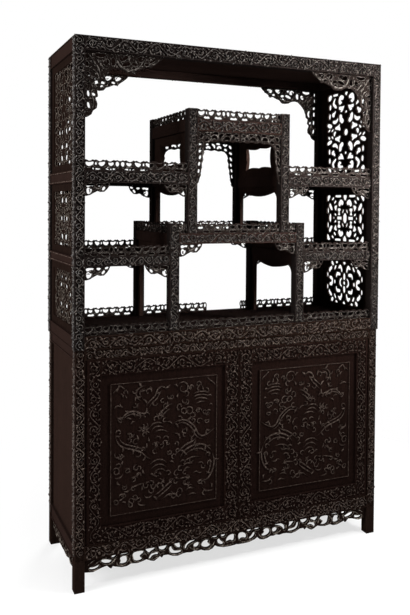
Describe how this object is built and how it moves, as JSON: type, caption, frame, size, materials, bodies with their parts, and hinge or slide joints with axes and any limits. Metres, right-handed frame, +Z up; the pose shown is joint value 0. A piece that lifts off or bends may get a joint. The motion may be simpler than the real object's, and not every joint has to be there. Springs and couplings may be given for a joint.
{
  "type": "display cabinet",
  "caption": "Tall carved hardwood display shelf: open stepped shelves with pierced scroll galleries and side frets, standing on a cupboard with hinged panelled doors.",
  "frame": {"origin": "on the floor under the middle of the cabinet", "axes": "+X to the right along the front, the front faces -Y, +Z up"},
  "size_m": [1.244, 0.44, 1.9],
  "materials": {
    "carved_frame": "satin, rubbed dark, with the high edges of the carving a little paler",
    "plain_boards": "smooth satin, nearly black",
    "pierced_work": "satin, rubbed dark, edges a little paler",
    "door_frames": "satin, rubbed dark",
    "door_panels": "satin, reddish dark brown",
    "pivot_dowels": "bare hardwood, hidden"
  },
  "bodies": {
    "carcass": {"base_front_rail": "carved_frame", "base_rails": "carved_frame", "bridge_posts": "carved_frame", "bridge_rails": "carved_frame", "bridge_side_panels": "plain_boards", "cupboard_back_left_post": "carved_frame", "cupboard_back_panel": "plain_boards", "cupboard_back_right_post": "carved_frame", "cupboard_bottom_front_rail": "carved_frame", "cupboard_floor": "plain_boards", "cupboard_frame_rails": "carved_frame", "cupboard_front_left_post": "carved_frame", "cupboard_front_right_post": "carved_frame", "cupboard_left_panel": "plain_boards", "cupboard_right_panel": "plain_boards", "cupboard_top_board": "plain_boards", "cupboard_top_front_rail": "carved_frame", "floor_galleries": "pierced_work", "front_apron": "pierced_work", "inner_shelf": "plain_boards", "inner_shelf_bearers": "plain_boards", "left_lower_shelf": "plain_boards", "left_upper_shelf": "plain_boards", "lower_frets": "pierced_work", "middle_frets": "pierced_work", "middle_shelf": "plain_boards", "middle_shelf_galleries": "pierced_work", "right_lower_shelf": "plain_boards", "right_upper_shelf": "plain_boards", "shelf_spandrels": "pierced_work", "side_aprons": "pierced_work", "side_shelf_end_rails": "carved_frame", "side_shelf_galleries": "pierced_work", "side_shelf_rails": "carved_frame", "tall_frets": "pierced_work", "top_front_rail": "carved_frame", "top_panel": "plain_boards", "top_rails": "carved_frame", "top_spandrels": "pierced_work", "tower_aprons": "pierced_work", "tower_galleries": "pierced_work", "tower_posts": "carved_frame", "tower_rails": "carved_frame", "tower_side_panels": "plain_boards", "tower_top_board": "plain_boards", "upper_back_left_post": "carved_frame", "upper_back_right_post": "carved_frame", "upper_floor": "plain_boards", "upper_front_left_post": "carved_frame", "upper_front_right_post": "carved_frame"},
    "left_door": {"left_door_hinge_stile": "door_frames", "left_door_meeting_stile": "door_frames", "left_door_panel": "door_panels", "left_door_pivots": "pivot_dowels", "left_door_rails": "door_frames"},
    "right_door": {"right_door_hinge_stile": "door_frames", "right_door_meeting_stile": "door_frames", "right_door_panel": "door_panels", "right_door_pivots": "pivot_dowels", "right_door_rails": "door_frames"}
  },
  "joints": [
    {"name": "left_door_hinge", "type": "hinge", "parent": "carcass", "child": "left_door", "pos_m": [-0.5715, -0.207, 0.478], "axis": [0, 0, -1], "range_deg": [0, 95]},
    {"name": "right_door_hinge", "type": "hinge", "parent": "carcass", "child": "right_door", "pos_m": [0.5715, -0.207, 0.478], "axis": [0, 0, 1], "range_deg": [0, 95]}
  ]
}
